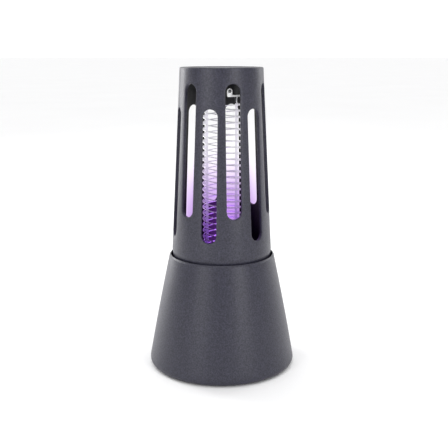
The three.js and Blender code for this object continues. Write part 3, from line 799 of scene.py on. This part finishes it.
def make_top_hub(material):
    """The black head of the grid, with a shallow step near its top."""
    radius, recess = HUB_HIGH.x, 8.0
    neck = radius - 0.5
    low, high = HUB_LOW.z, HUB_HIGH.z
    step = low + 8.5
    profile = rounded_profile([
        (0, low + 0.3), (recess, low + 0.3), (recess, low), (radius, low), (radius, step),
        (neck, step + 0.4), (neck, high), (0, high),
    ], 0.35, closed=False)
    hub = finish_piece("hub_head", lathe_mesh("hub_head", profile, closed=False), material, "base")
    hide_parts("grid_top_hub")


def make_bottom_hub(material):
    """The black foot of the grid, with the lamp's well in its top."""
    radius, well = FOOT_HUB_HIGH.x, 7.9
    neck = radius - 0.4
    low, high = FOOT_HUB_LOW.z, FOOT_HUB_HIGH.z
    step, well_floor = high - 3, low + 4
    profile = rounded_profile([
        (0, low), (radius, low), (radius, step), (neck, step + 0.4), (neck, high),
        (well, high), (well, well_floor), (0, well_floor),
    ], 0.4, closed=False)
    hub = finish_piece("hub_foot", lathe_mesh("hub_foot", profile, closed=False), material, "base")
    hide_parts("grid_bottom_hub")
    return hub


def make_rib_sockets(material):
    """Four lugs under the top hub, each round the end of a rib."""
    merged = bmesh.new()
    depth = RIB_HIGH.x - RIB_LOW.x + 1.0
    outline = rounded_rectangle(depth, RIB_HIGH.y - RIB_LOW.y + 1.6, 0.5, 3)
    middle = Matrix.Translation((RIB_LOW.x - 0.2 + depth / 2, 0, SOCKET_Z))
    for angle in RIB_ANGLES.values():
        stand = Matrix.Rotation(angle, 4, "Z") @ middle
        merged.from_mesh(prism_mesh("socket", outline, HUB_LOW.z - SOCKET_Z + 0.5, stand))
    mesh = bpy.data.meshes.new("rib_sockets")
    merged.to_mesh(mesh)
    merged.free()
    sockets = finish_piece("rib_sockets", mesh, material, "base")
    add_bevel(sockets, 0.15)


def join_loops(bm, loops):
    """Fills the bands between one loop of vertices and the next."""
    for near, far in zip(loops, loops[1:]):
        for i in range(len(near)):
            k = (i + 1) % len(near)
            bm.faces.new((near[i], near[k], far[k], far[i]))


def clip_strip(bm, start, low_z):
    """The strip that runs round the hub's lower edge."""
    steps = 40
    outer, high_z = CLIP_INNER + CLIP_THICKNESS, low_z + CLIP_HEIGHT
    section = [(CLIP_INNER, low_z), (outer, low_z), (outer, high_z), (CLIP_INNER, high_z)]
    loops = []
    for i in range(steps + 1):
        angle = start + CLIP_SPAN * i / steps
        turn = Vector((math.cos(angle), math.sin(angle), 0))
        loops.append([bm.verts.new(turn * r + Vector((0, 0, z))) for r, z in section])
    join_loops(bm, loops)
    bm.faces.new(loops[0])
    bm.faces.new(loops[-1])


def eyelet_edge(angle, centre_z, low_z):
    """A point of the eyelet's outside: round at the top, and square where it meets the strip."""
    x = EYELET_RADIUS * math.cos(angle)
    z = centre_z + EYELET_RADIUS * math.sin(angle)
    if z >= centre_z:
        return x, z
    if abs(x) > 0.35 * EYELET_RADIUS:
        x = math.copysign(EYELET_RADIUS, x)
    return x, max(low_z + 0.1, z - 1.6)


def clip_eyelet(bm, start, low_z, high_z):
    """The eyelet that stands up from the strip's end, flat against the hub."""
    centre_z = high_z - EYELET_RADIUS
    stand = Matrix.Rotation(start + EYELET_LEAD + math.pi / 2, 4, "Z")
    stand = stand @ Matrix.Translation((0, -CLIP_INNER - 0.02, 0))
    angles = [i / EYELET_SIDES * TAU for i in range(EYELET_SIDES)]
    edge = [eyelet_edge(a, centre_z, low_z) for a in angles]
    hole = [(EYELET_HOLE * math.cos(a), centre_z + EYELET_HOLE * math.sin(a)) for a in angles]
    loops = []
    for outline, y in ((edge, 0), (edge, -CLIP_THICKNESS), (hole, -CLIP_THICKNESS), (hole, 0)):
        loops.append([bm.verts.new(stand @ Vector((x, y, z))) for x, z in outline])
    join_loops(bm, [*loops, loops[0]])


def clip_mesh(name):
    """A strip bent round the hub's lower edge, with a round eyelet standing up from its end."""
    low, high = (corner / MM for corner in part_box("terminal_clip_1"))
    start = TERMINAL_ANGLE - EYELET_LEAD
    bm = bmesh.new()
    clip_strip(bm, start, low.z)
    clip_eyelet(bm, start, low.z, high.z)
    bmesh.ops.recalc_face_normals(bm, faces=bm.faces)
    mesh = bpy.data.meshes.new(name)
    bm.to_mesh(mesh)
    bm.free()
    return mesh


def make_terminal_screw(number, turn, material):
    """The small domed screw in a clip's eyelet."""
    low, high = (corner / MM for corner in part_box(f"terminal_screw_{number}"))
    radius = 0.85
    head = [(0, -0.5), (radius, -0.5), (radius, 0.15), (0.35, 0.4), (0, 0.4)]
    aim = Matrix.Translation((low + high) / 2) @ Matrix.Rotation(TERMINAL_ANGLE + turn, 4, "Z")
    aim = aim @ Matrix.Rotation(math.pi / 2, 4, "Y")
    mesh = lathe_mesh("screw", rounded_profile(head, 0.15, closed=False), 24, False, aim)
    screw = finish_piece(f"clip_screw_{number}", mesh, material, "base")
    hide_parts(f"terminal_screw_{number}")


def make_terminals(clip_metal, screw_metal):
    """Two clips, half a turn apart, each with its screw."""
    clips = []
    for number, turn in HALF_TURNS:
        mesh = clip_mesh(f"clip_{number}")
        mesh.transform(Matrix.Rotation(turn, 4, "Z"))
        clip = finish_piece(f"clip_{number}", mesh, clip_metal, "base")
        add_bevel(clip, 0.1)
        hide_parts(f"terminal_clip_{number}")
        clips.append(clip)
        make_terminal_screw(number, turn, screw_metal)
    return clips


def make_wires(material):
    """Two wires, half a turn apart."""
    wires = []
    for number, turn in HALF_TURNS:
        path = wire_path(WIRE_TOP_ANGLE + turn)
        wire = curve_piece(f"wire_{number}", path, WIRE_RADIUS, material, "base")
        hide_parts(f"grid_wire_{number}")
        wires.append(wire)
    return wires


# ---------------------------------------------------------------- tray and floor of the chamber

def make_tray(material):
    """The ring-shaped trough that catches the insects."""
    outer, inner = TRAY_HIGH.x, 14.8
    low, top = TRAY_LOW.z, TRAY_HIGH.z
    wall = 1.4
    profile = rounded_profile([
        (inner, low), (outer, low), (outer, top), (outer - wall, top), (outer - wall, low + wall),
        (inner + wall, low + wall), (inner + wall, top), (inner, top),
    ], 0.5)
    tray = finish_piece("tray_trough", lathe_mesh("tray_trough", profile), material, "tray")
    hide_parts("insect_tray")


def make_chamber_floor(material):
    """The floor below the tray: a deck with a raised seat for the grid and a sloping collar round it."""
    low, deck, top = FLOOR_LOW.z, FLOOR_LOW.z + 3, FLOOR_HIGH.z
    radius, outer, inner = FLOOR_HIGH.x, 30.2, 26.3
    wall = outer - 1.4
    seat_radius, seat_z = 14.1, 66.0
    profile = rounded_profile([
        (0, low), (radius, low), (radius, deck), (outer, deck), (outer, top), (inner, top - 2),
        (inner, top - 3.2), (wall, top - 2.4), (wall, deck),
        (seat_radius, deck), (seat_radius, seat_z), (0, seat_z),
    ], 0.3, closed=False)
    floor = finish_piece("funnel", lathe_mesh("funnel", profile, closed=False), material, "base")
    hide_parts("chamber_floor")


# ---------------------------------------------------------------- base

def rear_matrix(z):
    """The frame of a rear control: Z points straight out of the base's wall at that height."""
    slope = math.atan2(base_radius(z - 1) - base_radius(z + 1), 2)
    place = Matrix.Rotation(math.pi / 2, 4, "Z") @ Matrix.Translation((base_radius(z), 0, z))
    return place @ Matrix.Rotation(math.pi / 2 - slope, 4, "Y")


BUTTON_Z = 36.0
BUTTON_RADIUS = 5.5
BUTTON_GAP = 0.3
INDICATOR_Z = 47.0
INDICATOR_HOLE = 1.7
# Width, height and corner radius of the hole for the socket.
PORT_OPENING = (9.6, 3.9, 1.8)
CUT_DEPTH = 8
PORT_CUT = 30
OPENING_TOP_Z = 5.6
USB_LOW, USB_HIGH = (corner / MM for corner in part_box("usb_port"))


def base_outside():
    """The outer skin's [radius, z] points: a rounded foot, the cone and the chamfered rim."""
    points = []
    for i in range(9):
        angle = i / 8 * math.pi / 2
        z = BASE_BOTTOM_Z + BASE_ROUND * (1 - math.cos(angle))
        points.append((base_radius(z) - BASE_ROUND * (1 - math.sin(angle)), z))
    cone_low, cone_high = BASE_BOTTOM_Z + BASE_ROUND, RIM_Z - LIP_HEIGHT
    for i in range(1, 13):
        z = cone_low + (cone_high - cone_low) * i / 12
        points.append((base_radius(z), z))
    points += [(RIM_RADIUS - step_in, RIM_Z - step_down) for step_in, step_down in LIP_CHAMFER]
    return points


def base_inside():
    """The inner skin's [radius, z] points, from the rim down to the straight-sided bottom opening."""
    points = [(RIM_INNER_RADIUS, RIM_Z - 0.2), (RIM_INNER_RADIUS, RIM_Z - 3)]
    widest = base_radius(OPENING_TOP_Z) - BASE_WALL
    high, low = RIM_Z - 5, 1.5
    for i in range(9):
        z = high + (low - high) * i / 8
        points.append((min(base_radius(z) - BASE_WALL, widest), z))
    points.append((CONE_RADIUS - BASE_ROUND - 1, BASE_BOTTOM_Z))
    return points


def round_cutter(radius, segments, z):
    """A cylinder through the rear wall at a height, square to the wall."""
    outline = [(0, -CUT_DEPTH), (radius, -CUT_DEPTH), (radius, CUT_DEPTH), (0, CUT_DEPTH)]
    return lathe_mesh("cut", outline, segments, False, rear_matrix(z))


def port_cutter():
    """A rounded slot through the rear wall for the socket."""
    port_z = (USB_LOW.z + USB_HIGH.z) / 2
    face_rear = Matrix.Translation((0, PORT_CUT, port_z)) @ Matrix.Rotation(-math.pi / 2, 4, "X")
    return prism_mesh("cut", rounded_rectangle(*PORT_OPENING), PORT_CUT, face_rear)


def make_base_shell(material):
    """The conical base, with holes at the rear for the button, the indicator and the socket."""
    mesh = lathe_mesh("base_cone", base_outside() + base_inside(), 256)
    shell = finish_piece("base_cone", mesh, material, "base")
    cut_out(shell, round_cutter(BUTTON_RADIUS + BUTTON_GAP, 48, BUTTON_Z))
    cut_out(shell, round_cutter(INDICATOR_HOLE, 24, INDICATOR_Z))
    cut_out(shell, port_cutter())
    shell.data.set_sharp_from_angle(angle=math.radians(35))
    add_bevel(shell, 0.3, 3, 50)
    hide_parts("base_shell")


def make_button(material):
    """The round button, with a flange behind the wall and a slightly dished face."""
    flange = BUTTON_RADIUS + 1
    profile = rounded_profile([
        (0, -4.0), (flange, -4.0), (flange, -3.0), (BUTTON_RADIUS, -3.0),
        (BUTTON_RADIUS, 1.5), (BUTTON_RADIUS - 1.2, 1.5), (0, 1.0),
    ], 0.5, closed=False)
    mesh = lathe_mesh("button_cap", profile, 64, False, rear_matrix(BUTTON_Z))
    button = finish_piece("button_cap", mesh, material, "button")
    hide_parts("power_button")


def make_indicator(material):
    """The small clear dome over the charging light."""
    radius = 1.5
    outline = [(0, -4.4), (radius, -4.4), (radius, 0.35), (0, 0.6)]
    profile = rounded_profile(outline, 0.4, closed=False)
    mesh = lathe_mesh("indicator", profile, 32, False, rear_matrix(INDICATOR_Z))
    lens = finish_piece("indicator", mesh, material, "base")
    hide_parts("indicator_lens")


def make_feet(material):
    """Four round rubber feet, each with a slightly sunk rim."""
    for number in range(1, 5):
        low, high = (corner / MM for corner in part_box(f"rubber_foot_{number}"))
        middle = (low + high) / 2
        height = high.z - low.z
        outline = [(0, 0), (3.2, 0), (3.6, 0.25), (5, 0.25), (5, height), (0, height)]
        profile = rounded_profile(outline, 0.25, closed=False)
        place = Matrix.Translation((middle.x, middle.y, low.z))
        mesh = lathe_mesh("foot", profile, 40, False, place)
        foot = finish_piece(f"foot_{number}", mesh, material, "base")
        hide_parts(f"rubber_foot_{number}")


# ---------------------------------------------------------------- lamp, its haze and its glow

def make_lens(material):
    """The clear dome over the LEDs."""
    low, high = (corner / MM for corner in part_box("led_lens"))
    radius = high.x
    outer = [(radius - 0.5, low.z)]
    dome_z = low.z + 0.8
    for i in range(9):
        angle = i / 8 * math.pi / 2
        outer.append((radius * math.cos(angle), dome_z + (high.z - dome_z) * math.sin(angle)))
    outer[-1] = (0, high.z)
    mesh = lathe_mesh("lamp_lens", [(0, low.z + 0.7), (radius - 2, low.z), *outer], 64, False)
    lens = finish_piece("lamp_lens", mesh, material, "base")
    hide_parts("led_lens")


HAZE_LOW_Z = 80.0
HAZE_HIGH_Z = 150.0
HAZE_CLEARANCE = 3.5
# The heights in metres at which the filtering and the glow start and reach their full strength.
FILTER_HEIGHTS = (0.152, 0.095)
GLOW_HEIGHTS = (0.120, 0.104)
# The distances from the axis in metres at which the space inside the grid starts and is reached.
CORE_REACH = (0.013, 0.009)
FILTER_COLOR = (0.37, 0.0, 0.62)
FILTER_DENSITY = 37.0
CORE_FILTER_SHARE = 0.4
GLOW_COLOR = (0.40, 0.13, 0.68)
GLOW_STRENGTH = 11.0

# Each lamp's name, height in metres and power in watts.
LAMPS = (("lamp_low", 0.086, 0.016), ("lamp_high", 0.108, 0.010))
LAMP_COLOR = (0.62, 0.34, 1.0)
LAMP_SIZE = 0.006


def axis_distance(tree, place):
    """The distance from the Z axis of a place given as separate X, Y and Z."""
    flat = tree.nodes.new("ShaderNodeCombineXYZ")
    tree.links.new(place["X"], flat.inputs["X"])
    tree.links.new(place["Y"], flat.inputs["Y"])
    length = tree.nodes.new("ShaderNodeVectorMath")
    length.operation = "LENGTH"
    tree.links.new(flat.outputs["Vector"], length.inputs[0])
    return length.outputs["Value"]


def haze_air():
    """Air that filters light to violet, more so further down, and glows faintly inside the grid."""
    material = bpy.data.materials.new("haze_air")
    material.use_nodes = True
    tree = material.node_tree
    tree.nodes.remove(tree.nodes["Principled BSDF"])
    place = coordinates(tree, "Object")
    radius = axis_distance(tree, place)

    depth = map_range(tree, place["Z"], *FILTER_HEIGHTS, 0.0, FILTER_DENSITY)
    clearer = map_range(tree, radius, *CORE_REACH, 1.0, CORE_FILTER_SHARE)
    filtering = add_node(tree, "ShaderNodeVolumeAbsorption", Color=(*FILTER_COLOR, 1))
    tree.links.new(combine(tree, "MULTIPLY", depth, clearer), filtering.inputs["Density"])

    core = map_range(tree, radius, *CORE_REACH, 0.0, 1.0)
    lower = map_range(tree, place["Z"], *GLOW_HEIGHTS, 0.0, GLOW_STRENGTH)
    glow = add_node(tree, "ShaderNodeEmission", Color=(*GLOW_COLOR, 1))
    tree.links.new(combine(tree, "MULTIPLY", core, lower), glow.inputs["Strength"])

    both = tree.nodes.new("ShaderNodeAddShader")
    tree.links.new(filtering.outputs["Volume"], both.inputs[0])
    tree.links.new(glow.outputs["Emission"], both.inputs[1])
    tree.links.new(both.outputs["Shader"], tree.nodes["Material Output"].inputs["Volume"])
    return material


def make_haze():
    """The lamp's violet light in the air inside the guard. It is light, not a piece of the object."""
    wall = GUARD_WALL + HAZE_CLEARANCE
    profile = [
        (0, HAZE_LOW_Z), (guard_radius(HAZE_LOW_Z) - wall, HAZE_LOW_Z),
        (guard_radius(HAZE_HIGH_Z) - wall, HAZE_HIGH_Z), (0, HAZE_HIGH_Z),
    ]
    mesh = lathe_mesh("lamp_haze", profile, 64, closed=False)
    mesh.transform(Matrix.Scale(MM, 4))
    haze = bpy.data.objects.new("lamp_haze", mesh)
    bpy.context.collection.objects.link(haze)
    haze.data.materials.append(haze_air())


def lit_only(light, pieces):
    """Lets a light reach only some of the pieces."""
    receivers = bpy.data.collections.new(light.name + "_reaches")
    for piece in pieces:
        receivers.objects.link(piece)
    light.light_linking.receiver_collection = receivers


def lamp_glow(lit):
    """The violet light that the LEDs throw on the pieces of the grid."""
    for name, height, energy in LAMPS:
        data = bpy.data.lights.new(name, "POINT")
        data.color = LAMP_COLOR
        data.energy = energy
        data.shadow_soft_size = LAMP_SIZE
        light = bpy.data.objects.new(name, data)
        light.location = (0, 0, height)
        bpy.context.collection.objects.link(light)
        lit_only(light, lit)


def dress(names, material):
    """Gives carried-over CAD nodes a material."""
    for name in names:
        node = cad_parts[name]
        node.data.materials.clear()
        node.data.materials.append(material)


# ---------------------------------------------------------------- assembly

make_camera()
make_floor()
make_lights()

plastic = {name: grained_plastic(name, *look) for name, look in PLASTICS.items()}
steel = {name: metal(name, *look) for name, look in METALS.items()}
charcoal = plastic["charcoal_plastic"]
black = plastic["black_plastic"]
milky = milky_plastic()
clear = clear_plastic()
led = lit_led()
board = circuit_board()

make_guard(charcoal, plastic["guard_inside_painted_shade"])
make_cap(charcoal)
make_top_hub(black)
bottom_hub = make_bottom_hub(black)
make_rib_sockets(black)
for side, angle in RIB_ANGLES.items():
    make_rib(side, angle, milky)
wires = make_wires(steel["grid_steel"])
clips = make_terminals(steel["tinned_steel"], steel["screw_steel"])
make_lens(clear)
make_tray(plastic["tray_plastic"])
make_chamber_floor(black)
make_base_shell(charcoal)
make_button(black)
make_indicator(clear)
make_feet(plastic["rubber"])
make_haze()
lamp_glow([*wires, bottom_hub])
lit_only(softbox(*TERMINAL_LIGHT), clips)

dress([f"uv_led_{i}" for i in range(1, 7)], led)
dress(["led_board", "control_board", "hv_board"], board)
dress(["base_plate", "battery_holder", "switch_body"], black)
dress([f"base_screw_{i}" for i in range(1, 5)], steel["screw_steel"])
dress(["usb_port"], steel["shield_steel"])
dress(["battery_cell"], plastic["cell_wrap"])
dress(["hv_transformer"], plastic["transformer_winding"])
dress([f"hv_capacitor_{i}" for i in range(1, 4)], plastic["capacitor_coat"])
dress(["hv_lead_1", "hv_lead_2"], plastic["red_insulation"])
